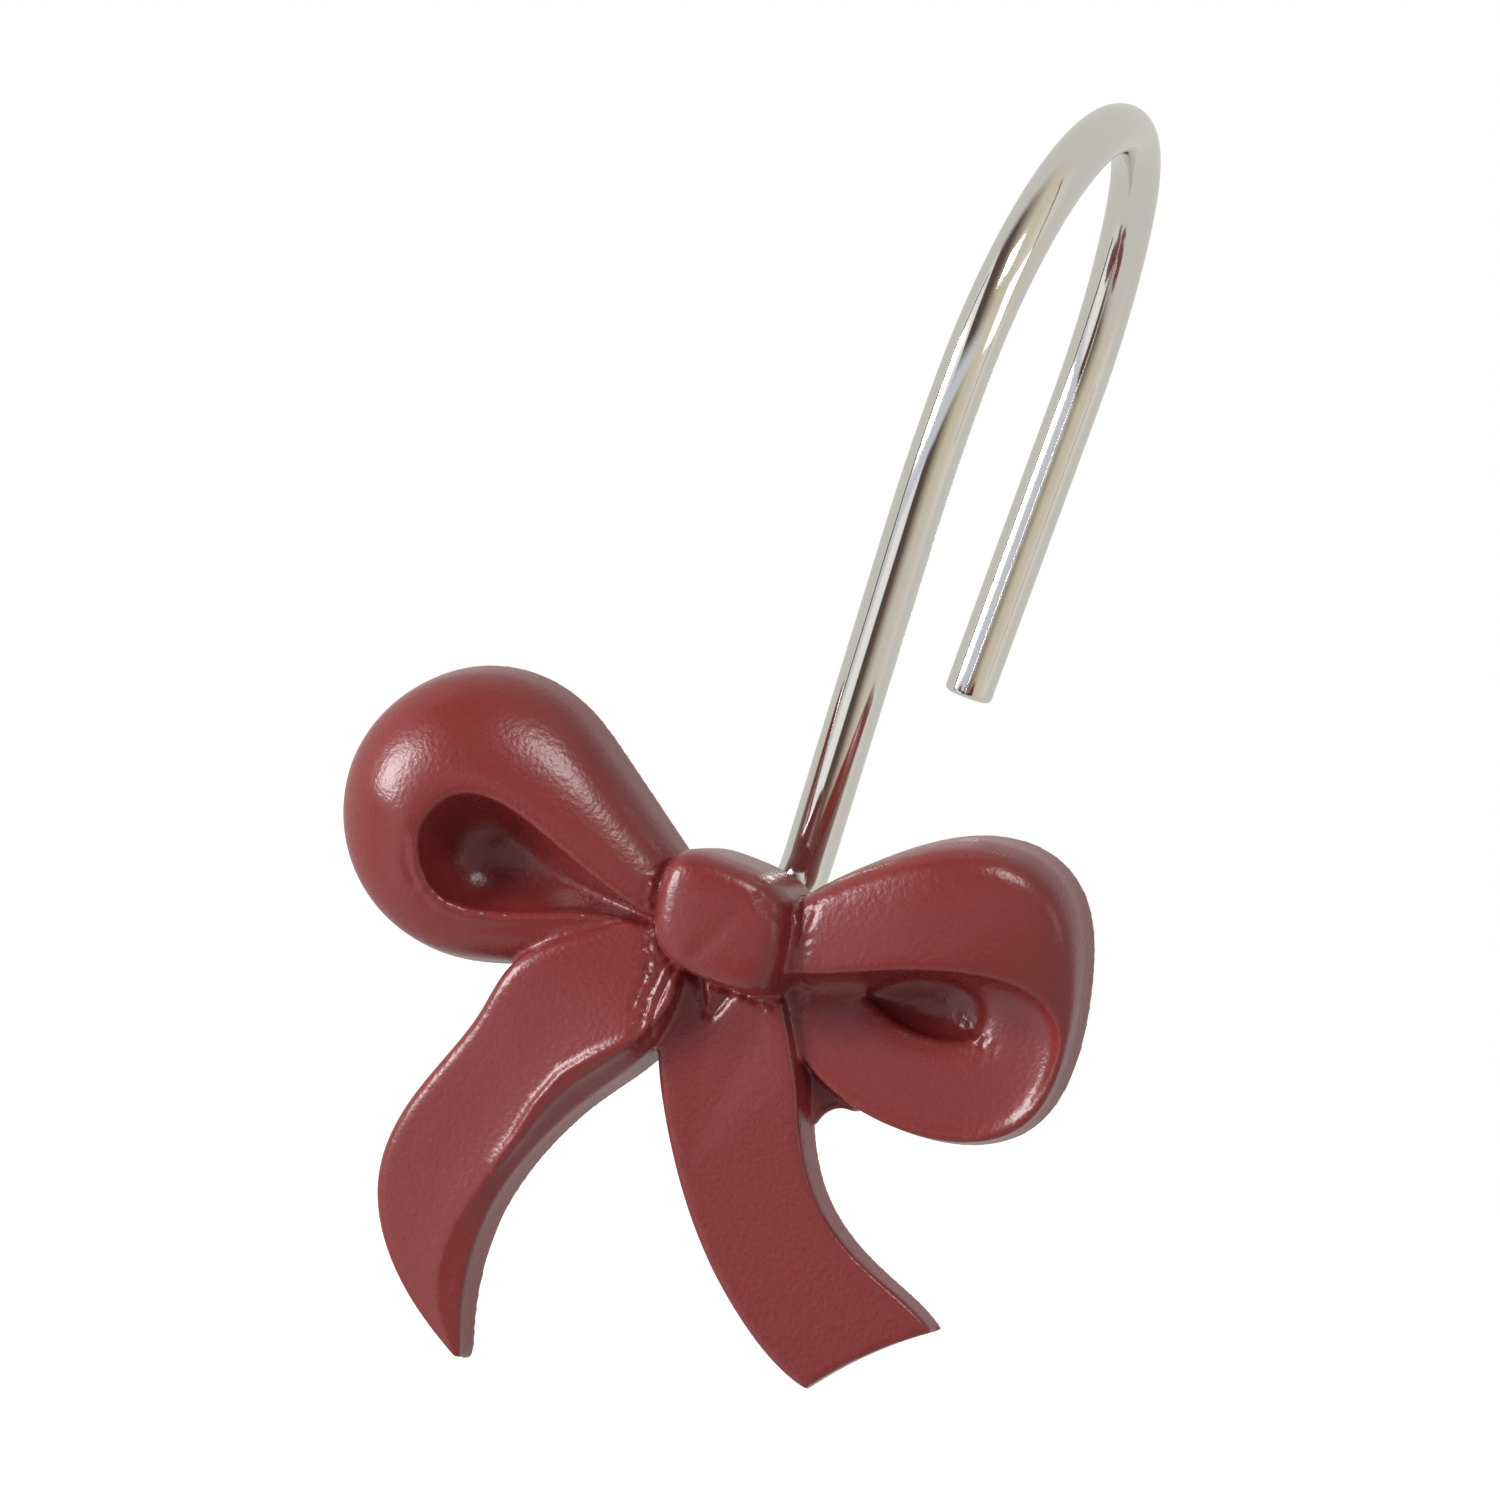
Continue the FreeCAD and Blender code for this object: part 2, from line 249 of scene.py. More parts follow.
def left_loop():
    """Rings from the hollow's floor to its rim, over the pad and down. The pad's height goes from its crest
    to its low side by a power of minus the sine, and to its end at the knot by the squared cosine of half."""
    a = ring_of()
    outer, inner = left_outline(), hollow_outline()
    under = np.maximum(-np.sin(a), 0.0)
    low = under ** 0.7
    near = between(LEFT_NEAR, LEFT_TUCKED, under ** 0.5)
    crest = between(between(LEFT_CREST, LEFT_LOW, low), near, ((1 + np.cos(a)) / 2) ** 2)
    middle = HOLLOW_TIP - (HOLLOW_LONG * HOLLOW_MIDDLE, 0.0)
    rows = [row(between(middle, inner, share), between(HOLLOW_FLOOR, crest - RIM_DROP, rise))
            for share, rise in HOLLOW_RINGS]
    for share in PAD_RINGS:
        drop = RIM_DROP * (1 + 2 * low) * np.maximum(1 - share / (RIM_WIDTH + LOW_RIM_WIDTH * low), 0.0)
        height = between(WALL_H, crest - drop, shoulder(share, PAD_START))
        rows.append(row(between(inner, outer, share), height))
    rows += [row(outer, WALL_H), row(left_outline(DRAFT), 0.0)]
    return net_skin(rows, LOOP_AROUND)


print("left loop's outline, mm:", np.ptp(left_outline(), axis=0).round(1).tolist())
print("hollow's outline, mm:", np.ptp(hollow_outline(), axis=0).round(1).tolist())


# %% [markdown]
# ## The right loop
#
# This loop is turned more to the viewer. A broad band of ribbon runs over the top, and its front edge stands
# proud of a shallow dish, which is the inside of the ribbon, with a dark pit under the edge. The net's rings
# run from the pit, up the dish to the band's edge and the lip, and then over the band and down the wall.

# %% The right loop's net
RIGHT_SIZE, BAND_DEPTH = (21.2, 18.6), 6.8
RIGHT_OUTLINE = RIGHT_SIZE * np.array([
    (0.06, 0.05), (0.29, 0.34), (0.52, 0.535), (0.74, 0.565), (0.885, 0.45), (0.955, 0.24),
    (1.0, -0.01), (0.98, -0.25), (0.82, -0.395), (0.57, -0.43), (0.34, -0.375), (0.12, -0.18)])
# The band's front edge, with its depth as the third number.
RIGHT_EDGE = (*RIGHT_SIZE, BAND_DEPTH) * np.array([
    (0.12, -0.11, 0.8), (0.31, -0.04, 0.91), (0.50, 0.07, 0.98), (0.71, 0.15, 0.95), (0.87, 0.16, 0.79),
    (0.95, 0.08, 0.54)])
BAND_CRESTS = BAND_DEPTH * np.array([0.85, 0.93, 1.0, 0.97, 0.82, 0.58])
LIP_IN, LIP_DEPTHS = 0.3, 2.4 * np.array([1.45, 1.12, 1.0, 1.0, 0.95, 0.95])
PIT_MIDDLE = np.array([12.0, -0.6])
PIT_ACROSS, PIT_UP, PIT_DOWN, PIT_SLANT, PIT_RIM = 3.8, 2.15, 1.7, 0.2, 2.2
# Each ring of the pit's floor: its share of the pit, and its depth.
PIT_RINGS = [(0.3, 0.5), (0.7, 0.75), (0.93, 1.2)]
DISH_OUT, DISH_RISE = 0.85, 0.35
UNDER_OUT, UNDER_BAND, UNDER_LIP = 0.97, 0.3, 0.03
BAND_RINGS, BAND_START = [0.12, 0.55, 0.88, 0.985], 0.8


def right_loop():
    """Rings from the pit's floor to the band's edge and the lip, over the band and down the wall. The pit is
    an ellipse: the cosine across, and the sine up or down with a slant along the upper half."""
    outer = RIGHT_OUTLINE
    lip = outset(outer, -LIP_IN)[6:]
    rim = np.vstack([RIGHT_EDGE, row(lip, LIP_DEPTHS)])
    crest = np.concatenate([BAND_CRESTS, rim[6:, 2]])
    a = np.pi - ring_of(12)
    along = PIT_ACROSS * np.cos(a)
    up = np.where(a > 0, PIT_UP * np.sin(a) + PIT_SLANT * along, PIT_DOWN * np.sin(a))
    pit = row(np.stack([along, up], -1) + PIT_MIDDLE, PIT_RIM)
    dish = between(pit, rim, DISH_OUT)
    dish[:, 2] = between(pit[:, 2], rim[:, 2], DISH_RISE)
    fall = np.where(crest > rim[:, 2], UNDER_BAND, UNDER_LIP)
    under = row(between(pit, rim, UNDER_OUT)[:, :2], rim[:, 2] - fall)
    rows = [row(between(PIT_MIDDLE, pit[:, :2], share), floor) for share, floor in PIT_RINGS]
    rows += [pit, dish, under, rim]
    for share in BAND_RINGS:
        height = between(WALL_H, crest, shoulder(share, BAND_START))
        rows.append(row(between(rim[:, :2], outer, share), height))
    rows += [row(outer, WALL_H), row(outset(outer, DRAFT), 0.0)]
    return net_skin(rows, LOOP_AROUND)


print("right loop's outline, mm:", np.ptp(RIGHT_OUTLINE, axis=0).round(1).tolist())


# %% [markdown]
# ## The two tails and the web
#
# The left tail hangs down and curls, and a fold runs along it near its inner edge. The right tail is a flat
# strip that swings out to the right and ends in a hollow cut. A thin web from the mould fills the notch
# beside it. A tail is a ring of points down one edge and back up the other, and its root sinks at the knot.

# %% The left tail's net
EDGE_DROP = 0.9
LEFT_SIZE = (-15.6, -29.9)
LEFT_OUTER = LEFT_SIZE * np.array([
    (0.12, 0.02), (0.41, 0.07), (0.79, 0.22), (0.77, 0.35), (0.98, 0.57), (1.0, 0.76), (0.76, 0.92),
    (0.43, 1.01)])
LEFT_INNER = LEFT_SIZE * np.array([
    (0.08, 0.23), (0.15, 0.33), (0.32, 0.44), (0.44, 0.57), (0.51, 0.70), (0.51, 0.82), (0.47, 0.93),
    (0.41, 1.01)])
LEFT_DEPTH, LEFT_SLOPE, LEFT_TUCK = 4.9, 0.11, (1.3, 8.5, 5.5)
FOLD_SHARE = np.array([0.72, 0.9, 0.87, 0.92, 0.9, 0.78, 0.64, 0.5])[:, None]
FOLD_LIFTS, FOLD_REACH = np.array([0.0, 0.2, 0.25, 0.2, 0.15, 0.1, 0.0, 0.0]), 0.25
EDGE_FALLS = np.array([0.3, 0.2, 0.3, 0.5, 0.5, 0.45, 0.35, 0.2, 0.12, 0.12, 0.15, 0.4, 1.2, 1.9, 1.6, 1.0])
# Each ring: its share of the way from fold to edge, its share of the edge's fall, and a further drop.
LEFT_RINGS = [(0.02, 0.0, 0.0), (0.1, 0.05, 0.0), (0.3, 0.35, 0.0), (0.75, 0.8, 0.0), (0.95, 1.0, 0.0),
              (1.0, 1.0, EDGE_DROP)]


def tuck(ring, most, low, reach):
    """How far a root sinks: most times the squared share of the way up from low below the knot's middle."""
    return most * np.clip((ring[:, 1] + low) / reach, 0, 1) ** 2


def left_tail():
    """Rings from the fold's line to the edge and down. Height: the slope, less the edge's fall and the tuck,
    plus a lift that fades away from the fold."""
    fold = between(LEFT_OUTER, LEFT_INNER, FOLD_SHARE)
    edge, crest = np.vstack([LEFT_OUTER, LEFT_INNER[::-1]]), np.vstack([fold, fold[::-1]])
    lifts = np.concatenate([FOLD_LIFTS, FOLD_LIFTS[::-1]])
    rows = []
    for share, part, drop in LEFT_RINGS:
        ring = between(crest, edge, share)
        drop = drop - lifts * max(1 - share / FOLD_REACH, 0.0)
        height = LEFT_DEPTH + LEFT_SLOPE * (ring[:, 1] - fold[1, 1])
        rows.append(row(ring, height - EDGE_FALLS * part - drop - tuck(ring, *LEFT_TUCK)))
    rows.append(row(outset(edge, DRAFT), 0.0))
    return net_skin(rows)


print("left tail's outer edge, mm:", np.ptp(LEFT_OUTER, axis=0).round(1).tolist())

# %% The right tail's net
RIGHT_STRIP = (20.0, -24.1)
RIGHT_INNER = RIGHT_STRIP * np.array([
    (-0.15, -0.02), (-0.15, 0.22), (-0.08, 0.39), (0.02, 0.54), (0.17, 0.72), (0.395, 0.90), (0.78, 1.07)])
RIGHT_OUTER = RIGHT_STRIP * np.array([
    (0.12, -0.03), (0.21, 0.14), (0.33, 0.28), (0.40, 0.43), (0.50, 0.56), (0.70, 0.67), (1.13, 0.75)])
RIGHT_DEPTH, RIGHT_SLOPE, RIGHT_TUCK = 3.9, 0.085, (0.5, 6.5, 3.0)
# Each ring: how far out of the outline it lies, and how far it falls.
RIGHT_RINGS = [(-0.9, 0.0), (-0.4, 0.0), (-0.1, 0.05), (0.0, 0.35), (0.05, EDGE_DROP)]


def right_tail():
    """Rings from inside the outline to the edge and down. Height: the slope, less the fall and the tuck."""
    edge = np.vstack([RIGHT_INNER, RIGHT_OUTER[::-1]])
    rows = []
    for grow, fall in RIGHT_RINGS:
        ring = outset(edge, grow)
        rows.append(row(ring, RIGHT_DEPTH + RIGHT_SLOPE * ring[:, 1] - fall - tuck(ring, *RIGHT_TUCK)))
    rows.append(row(outset(edge, DRAFT), 0.0))
    return net_skin(rows)


print("right tail's inner edge, mm:", np.ptp(RIGHT_INNER, axis=0).round(1).tolist())

# %% The web
NOTCH, WEB_DEPTH = (9.75, -9.55), 0.9
WEB_CORNERS = NOTCH * np.array([(0.1, 0.1), (1.1, 0.6), (1.06, 0.78), (1.0, 0.9), (0.8, 1.0), (0.5, 0.85)])


def web():
    """A thin block between the knot and the notch: its corners at the back and again at its depth."""
    return upright(WEB_CORNERS, 0.0, WEB_DEPTH)


# %% [markdown]
# ## From skins to one casting
#
# Each skin becomes a mesh. Normals are made to face outwards, the right tail's end and the notch are cut
# with a boolean, and then all are joined and remeshed on a fine grid of small cubes. That melts the forms
# into one closed casting, with soft inner corners as thick paint leaves them.

# %% Skins as meshes
def mesh_piece(name, skin, unit=1.0):
    """An object with a mesh of a skin's points, times the unit, and its faces."""
    points, faces = skin
    mesh = bpy.data.meshes.new(name)
    mesh.from_pydata((np.asarray(points) * unit).tolist(), [], faces)
    mesh.validate()
    piece = bpy.data.objects.new(name, mesh)
    bpy.context.collection.objects.link(piece)
    return piece


def face_out(piece):
    """Recalculates the normals outwards, on a closed mesh."""
    bpy.context.view_layer.objects.active = piece
    bpy.ops.object.mode_set(mode="EDIT")
    bpy.ops.mesh.select_all(action="SELECT")
    bpy.ops.mesh.normals_make_consistent(inside=False)
    bpy.ops.object.mode_set(mode="OBJECT")


def casting_part(name, skin):
    """A skin of the bow at its place in the hook's frame, still in millimetres."""
    points, faces = skin
    piece = mesh_piece(name, (in_frame(points), faces))
    face_out(piece)
    return piece


forms = {form.__name__: casting_part(form.__name__, form())
         for form in (knot, left_loop, right_loop, left_tail, right_tail, web)}
print("vertices in each form:", {name: len(form.data.vertices) for name, form in forms.items()})

# %% The cut end and the notch
END_CORNERS = RIGHT_STRIP * np.array([(0.63, 1.035), (1.01, 0.715)])
END_R, END_LOW, END_HIGH, END_COUNT = 26.0, -4.0, 8.0, 360
NOTCH_R, NOTCH_LOW, NOTCH_HIGH = 1.6, -0.9, 1.8


def apply_all(piece):
    """Takes the mesh with its modifiers worked out, and drops the modifiers."""
    shown = piece.evaluated_get(bpy.context.evaluated_depsgraph_get())
    mesh = bpy.data.meshes.new_from_object(shown)
    piece.modifiers.clear()
    piece.data = mesh


def cut(piece, tool):
    """Takes the tool's space out of the piece, and removes the tool."""
    step = piece.modifiers.new("cut", "BOOLEAN")
    step.operation = "DIFFERENCE"
    step.solver = "EXACT"
    step.object = tool
    apply_all(piece)
    bpy.data.objects.remove(tool)


end_chord = END_CORNERS[1] - END_CORNERS[0]
end_out = np.array([end_chord[1], -end_chord[0]]) / np.linalg.norm(end_chord)
end_middle = END_CORNERS.mean(0) + end_out * math.sqrt(END_R ** 2 - (end_chord @ end_chord) / 4)
cut(forms["right_tail"], casting_part("end_tool", disc(end_middle, END_R, END_LOW, END_HIGH, END_COUNT)))
cut(forms["web"], casting_part("notch_tool", disc(NOTCH, NOTCH_R, NOTCH_LOW, NOTCH_HIGH)))
print("cut end's circle about, mm:", end_middle.round(1).tolist())

# %% Joining and melting
VOXEL, EASE_FACTOR, EASE_TIMES = 0.19, 0.5, 2
bpy.ops.object.select_all(action="DESELECT")
for form in forms.values():
    form.select_set(True)
bpy.context.view_layer.objects.active = forms["knot"]
bpy.ops.object.join()
bow = bpy.context.view_layer.objects.active
bow.name = "painted_bow"
melt = bow.modifiers.new("melt", "REMESH")
melt.mode = "VOXEL"
melt.voxel_size = VOXEL
ease = bow.modifiers.new("ease", "SMOOTH")
ease.factor = EASE_FACTOR
ease.iterations = EASE_TIMES
apply_all(bow)
print("casting:", len(bow.data.vertices), "vertices,", len(bow.data.polygons), "faces")

# %% [markdown]
# ## Pinches, creases and ridges
#
# Where the ribbon is gathered at the knot, the model maker cut small folds. Each is a dent in the skin: a
# bell curve of the distance from a line. A crevice is a wider dent with a wrinkled depth, and a ridge is a
# dent turned inside out. All of them are worked out for all the vertices at once, and move them along their
# normals.

# %% Dents along lines
# Each: a line of points (x, z) on the bow, a width and a depth or height.
CREASES = [
    ([(1.6, 3.4), (1.2, 1.2), (0.2, -0.8), (-0.9, -2.9)], 0.6, 0.07),
    ([(1.5, 2.6), (2.6, 1.9), (3.9, 1.7)], 0.5, 0.18),
    ([(-1.2, -3.4), (-0.6, -4.4), (0.3, -5.9)], 0.3, 0.38),
    ([(1.3, -3.4), (0.9, -4.6), (0.4, -5.9)], 0.3, 0.35),
    ([(-2.2, -3.6), (-2.3, -6.0), (-2.0, -8.2)], 0.13, 0.25),
    ([(-2.8, -3.4), (-3.0, -5.8), (-2.7, -8.4)], 0.12, 0.2),
    ([(-3.4, -3.2), (-3.7, -5.0), (-3.6, -7.0)], 0.13, 0.15),
]
CREVICES = [
    ([(-4.7, 2.6), (-5.0, 0.2), (-4.6, -2.4), (-3.4, -4.6), (-2.9, -6.8), (-2.4, -9.0)], 0.4, 0.14),
    ([(-4.0, -3.2), (-1.6, -3.9), (1.4, -3.9), (4.4, -3.6)], 0.45, 0.13),
    ([(4.4, 4.0), (5.0, 1.2), (5.1, -1.6), (5.3, -4.4)], 0.35, 0.1),
    ([(13.6, -0.2), (17.0, -1.7)], 0.55, 0.1),
]
LOWER_LIP = hollow_outline()[12:22]
RIDGES = [
    ([(-2.9, -8.3), (-4.6, -10.1), (-6.1, -11.9), (-7.0, -14.1), (-7.5, -16.3), (-8.4, -18.8)], 0.32, 0.24),
    (LOWER_LIP, 0.35, 0.42),
]
KNOT_SEAM = (knot_ring(1.03), 0.28, 0.35)


def read_mesh(piece):
    """The places and the normals of all the vertices, as two arrays."""
    count = len(piece.data.vertices)
    places, normals = np.empty(count * 3), np.empty(count * 3)
    piece.data.vertices.foreach_get("co", places)
    piece.data.vertices.foreach_get("normal", normals)
    return places.reshape(-1, 3), normals.reshape(-1, 3)


def line_dent(spots, line, width, depth):
    """Depth times exp(-(distance / width) squared), thinned to nothing at the line's two ends."""
    line = np.array(line, float)
    best = np.zeros(len(spots))
    lengths = np.linalg.norm(np.diff(line, axis=0), axis=1)
    total, start = lengths.sum(), 0.0
    for a, b, length in zip(line[:-1], line[1:], lengths):
        share = np.clip((spots - a) @ (b - a) / length ** 2, 0, 1)
        distance = np.linalg.norm(spots - a - share[:, None] * (b - a), axis=1)
        way = (start + share * length) / total
        fade = np.sqrt(np.clip(4 * way * (1 - way), 0, 1))
        best = np.maximum(best, depth * fade * np.exp(-(distance / width) ** 2))
        start += length
    return best


def rough(spots, wave=0.6, count=9):
    """A wrinkled height from -1 to 1: a sum of sines of about the given wavelength, where each next one is
    turned by 2.4 radians, a little longer and started elsewhere."""
    height = np.zeros(len(spots))
    for k in range(count):
        way = 2.4 * k
        step = wave * (0.8 + 0.07 * k)
        height += np.sin(2 * np.pi * (spots @ (math.cos(way), math.sin(way))) / step + 1.7 * k * k)
    return height / math.sqrt(2 * count)


# %% The dented skin
places, normals = read_mesh(bow)
spots = (places - KNOT_MIDDLE)[:, [0, 2]]
front = np.clip(-normals[:, 1] * 2, 0, 1)
dent = np.zeros(len(places))
for crease in CREASES:
    dent = np.maximum(dent, line_dent(spots, *crease))
for crevice in CREVICES:
    dent += line_dent(spots, *crevice) * (rough(spots) + 0.5)
for ridge in RIDGES:
    dent -= line_dent(spots, *ridge)
dent += line_dent(spots, *KNOT_SEAM)
bow.data.vertices.foreach_set("co", (places - normals * (dent * front)[:, None]).ravel() * MM)
bow.data.update()
bow.data.shade_smooth()
print("deepest crease, mm:", round(float((dent * front).max()), 2), "triangles:", 2 * len(bow.data.polygons))
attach(bow, "root")
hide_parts("bow_ornament")

# %% [markdown]
# ## The wire
#
# The hook is one round wire, drawn along a path of straight lines and arcs that run into each other. A tube
# is a circle carried along that path. At each step the path has a heading, in the wire's own upright plane,
# so the circle's two axes are the plane's normal and the side of the heading. The free end is rounded over.

# %% The wire's path
STUB_START, STUB_END, STUB_HEADING = (-4.5, 0.0), (0.5, 0.0), 90.0
# Each: a radius and the degrees of a turn, or None and the length of a straight.
BENDS = [(3.6, -104.0), (None, 20.9), (40.0, 14.0), (16.6, 85.0), (11.3, 58.5), (21.6, 34.2), (None, 19.3)]
LINE_STEPS, FEWEST_ARC_STEPS = 12, 12


def wire_path():
    """Points and headings: a line goes straight on, and an arc turns about a centre square to its heading."""
    places, headings = [STUB_START, STUB_END], [STUB_HEADING] * 2
    for radius, amount in BENDS:
        start, heading = np.array(places[-1]), math.radians(headings[-1])
        if radius is None:
            steps = np.linspace(0, amount, LINE_STEPS)[1:, None]
            line = start + steps * (math.sin(heading), math.cos(heading))
            places += line.tolist()
            headings += [headings[-1]] * len(line)
            continue
        side = math.copysign(1.0, amount)
        turn = np.radians(np.linspace(0, amount, max(int(abs(amount)), FEWEST_ARC_STEPS)))[1:]
        out = np.stack([np.cos(heading), -np.sin(heading)]) * side
        spin = heading + turn
        arc = start + out * radius - radius * side * np.stack([np.cos(spin), -np.sin(spin)], -1)
        places += arc.tolist()
        headings += np.degrees(spin).tolist()
    return np.array(places), np.array(headings)


print("wire's path:", len(wire_path()[0]), "points")

# %% The tube
WIRE_R, WIRE_X, END_ROUND = 1.5, 1.0, 0.35


def tube(around=64):
    """Point(angle, step) = path point + radius times (cosine times the plane's normal + sine times the
    heading's side), with the radius falling as a quarter circle over the rounded end."""
    places, headings = wire_path()
    angle = np.radians(headings)
    ahead = np.stack([np.sin(angle), np.cos(angle)], -1)
    curl = np.linspace(0, np.pi / 2, 8)
    tip = places[-1] - ahead[-1] * END_ROUND + ahead[-1] * END_ROUND * np.sin(curl)[:, None]
    places = np.vstack([places[:-1], tip])
    ahead = np.vstack([ahead[:-1], np.repeat(ahead[-1:], len(tip), 0)])
    radius = np.full(len(places), WIRE_R)
    radius[-len(tip):] = WIRE_R - END_ROUND * (1 - np.cos(curl))
    a = ring_of(around)
    side = np.stack([ahead[:, 1], -ahead[:, 0]], -1)
    y = places[:, :1] + radius[:, None] * side[:, :1] * np.sin(a)
    z = places[:, 1:] + radius[:, None] * side[:, 1:] * np.sin(a)
    x = WIRE_X + radius[:, None] * np.cos(a) + 0 * y
    points = np.stack([x, y, z], -1).reshape(-1, 3) + KNOT_MIDDLE
    return points, ring_faces(len(places), around)


wire = mesh_piece("polished_wire", tube(), MM)
face_out(wire)
wire.data.shade_smooth()
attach(wire, "root")
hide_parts("wire_hook")
print("wire:", len(wire.data.vertices), "vertices")

# %% [markdown]
# ## The finishes
#
# Satin paint is a coloured skin with a broad, soft gloss. The shader's own sockets hold what is the same all
# over. Only what varies comes through nodes: a slight change of gloss, a soft ripple with a fine grain over
# it, and a few tiny bubbles. The wire is metal with a bright plate, and a faint ripple from drawing.

# %% Node helpers
NOISE, CELLS = "ShaderNodeTexNoise", "ShaderNodeTexVoronoi"


def set_inputs(node, values):
    """Gives a node's inputs, by name, their fixed values."""
    for name, value in values.items():
        node.inputs[name].default_value = value


def new_finish(name, values):
    """A material with its shader's fixed values: the material, its nodes, its links and its shader."""
    material = bpy.data.materials.new(name)
    material.use_nodes = True
    nodes, links = material.node_tree.nodes, material.node_tree.links
    shader = nodes["Principled BSDF"]
    set_inputs(shader, values)
    return material, nodes, links, shader


def object_texture(nodes, links, kind, values):
    """A texture laid in the piece's own coordinates, in metres."""
    place = nodes.new("ShaderNodeTexCoord")
    texture = nodes.new(kind)
    set_inputs(texture, values)
    links.new(place.outputs["Object"], texture.inputs["Vector"])
    return texture


def mapped(nodes, links, value, values):
    """The output of a Map Range node on a value."""
    step = nodes.new("ShaderNodeMapRange")
    set_inputs(step, values)
    links.new(value, step.inputs["Value"])
    return step.outputs["Result"]


def worked(nodes, links, operation, first, second):
    """The output of a Math node on an output and either a number or another output."""
    step = nodes.new("ShaderNodeMath")
    step.operation = operation
    links.new(first, step.inputs[0])
    if isinstance(second, float):
        step.inputs[1].default_value = second
    else:
        links.new(second, step.inputs[1])
    return step.outputs[0]


def bump_from(nodes, links, height, strength, distance, under=None):
    """A bump from a height, over another bump's normal if there is one."""
    bump = nodes.new("ShaderNodeBump")
    set_inputs(bump, {"Strength": strength, "Distance": distance})
    links.new(height, bump.inputs["Height"])
    if under is not None:
        links.new(under.outputs["Normal"], bump.inputs["Normal"])
    return bump


# %% The satin paint
PAINT = {"Base Color": (0.205, 0.026, 0.025, 1), "Specular IOR Level": 0.5}
BUBBLE_R, BUBBLE_SHARE = 0.055, 0.16

paint, nodes, links, shader = new_finish("satin_burgundy", PAINT)
ripple = object_texture(nodes, links, NOISE, {"Scale": 1400, "Detail": 2}).outputs["Fac"]
grain = object_texture(nodes, links, NOISE, {"Scale": 3200, "Detail": 1}).outputs["Fac"]
links.new(mapped(nodes, links, ripple, {"To Min": 0.25, "To Max": 0.31}), shader.inputs["Roughness"])
soft = bump_from(nodes, links, ripple, 0.07, 0.0002)
fine = bump_from(nodes, links, grain, 0.3, 0.00008, soft)
bubbles = object_texture(nodes, links, CELLS, {"Scale": 330})
dome = mapped(nodes, links, bubbles.outputs["Distance"], {"From Min": BUBBLE_R, "From Max": 0.0})
rare = worked(nodes, links, "LESS_THAN", bubbles.outputs["Color"], BUBBLE_SHARE)
specks = worked(nodes, links, "MULTIPLY", dome, rare)
raised = bump_from(nodes, links, specks, 0.6, 0.0001, fine)
links.new(raised.outputs["Normal"], shader.inputs["Normal"])
bow.data.materials.clear()
bow.data.materials.append(paint)
print("paint nodes:", len(nodes))

# %% The bright plate
PLATE = {"Base Color": (0.76, 0.73, 0.68, 1), "Metallic": 1.0, "Roughness": 0.09}

plate, nodes, links, shader = new_finish("polished_plate", PLATE)
draw = object_texture(nodes, links, NOISE, {"Scale": 260, "Detail": 2}).outputs["Fac"]
links.new(bump_from(nodes, links, draw, 0.08, 0.0003).outputs["Normal"], shader.inputs["Normal"])
wire.data.materials.clear()
wire.data.materials.append(plate)
print("plate nodes:", len(nodes))

# %% [markdown]
# ## The camera
#
# The photograph's camera is fitted to it once: the way it looks, its focal length in pixels, and the pixel
# where one known spot of the hook is seen. All the studio is then placed by right, up and back from there.

# %% The camera
BACK = np.array([0.24615, -0.96612, 0.07760])
RIGHT = np.array([0.90034, 0.25757, 0.35079])
UP = np.array([-0.35889, -0.01649, 0.93323])
FOCAL_PX, IMAGE_PX, DISTANCE, SENSOR = 7650.0, 1500.0, 450.0, 36.0
AIM, AIM_PX = np.array([0.0, -9.787, -44.807]), (811, 853)

offset = (AIM_PX[0] - IMAGE_PX / 2) / FOCAL_PX, (IMAGE_PX / 2 - AIM_PX[1]) / FOCAL_PX
eye = AIM - (-BACK + RIGHT * offset[0] + UP * offset[1]) * DISTANCE
camera = bpy.data.objects.new("camera", bpy.data.cameras.new("camera"))
bpy.context.collection.objects.link(camera)
turn = Matrix(np.column_stack([RIGHT, UP, BACK]).tolist()).to_4x4()
camera.matrix_world = Matrix.Translation(Vector(eye * MM)) @ turn
camera.data.sensor_width = SENSOR
camera.data.lens = SENSOR * FOCAL_PX / IMAGE_PX
camera.data.clip_start = 0.01
camera.data.clip_end = 10.0
bpy.context.scene.camera = camera
print("camera at, mm:", eye.round(1).tolist())

# %% [markdown]
# ## The studio
#
# A product shot of this kind has a white surround, a large soft lamp to the left, one above, and a weak one
# from the right. The camera sees plain white behind the hook. The light from all round is dark grey in
# front, and bright behind, where the backdrop stands, which shows on the side walls. What the polished wire
# mirrors is a third thing: a room made from the looked-at direction, white on the left, brown in front of
# the hook and beige on the right. The world's Light Path keeps the three apart. Two dark cards beside the
# camera give the wire its thin dark lines.

# %% Lamps
def studio_place(where):
    """A place at right, up and back offsets from the aim, from millimetres to metres."""
    return Vector((AIM + RIGHT * where[0] + UP * where[1] + BACK * where[2]) * MM)


def lamp(name, where, energy, width, height):
    """A soft oblong lamp, aimed at the hook, with its height along the picture's own up."""
    data = bpy.data.lights.new(name, "AREA")
    data.energy = energy
    data.shape = "RECTANGLE"
    data.size = width * MM
    data.size_y = height * MM
    piece = bpy.data.objects.new(name, data)
    bpy.context.collection.objects.link(piece)
    piece.location = studio_place(where)
    out = (piece.location - Vector(AIM * MM)).normalized()
    side = Vector(UP).cross(out).normalized()
    piece.rotation_euler = Matrix((side, out.cross(side), out)).transposed().to_euler()


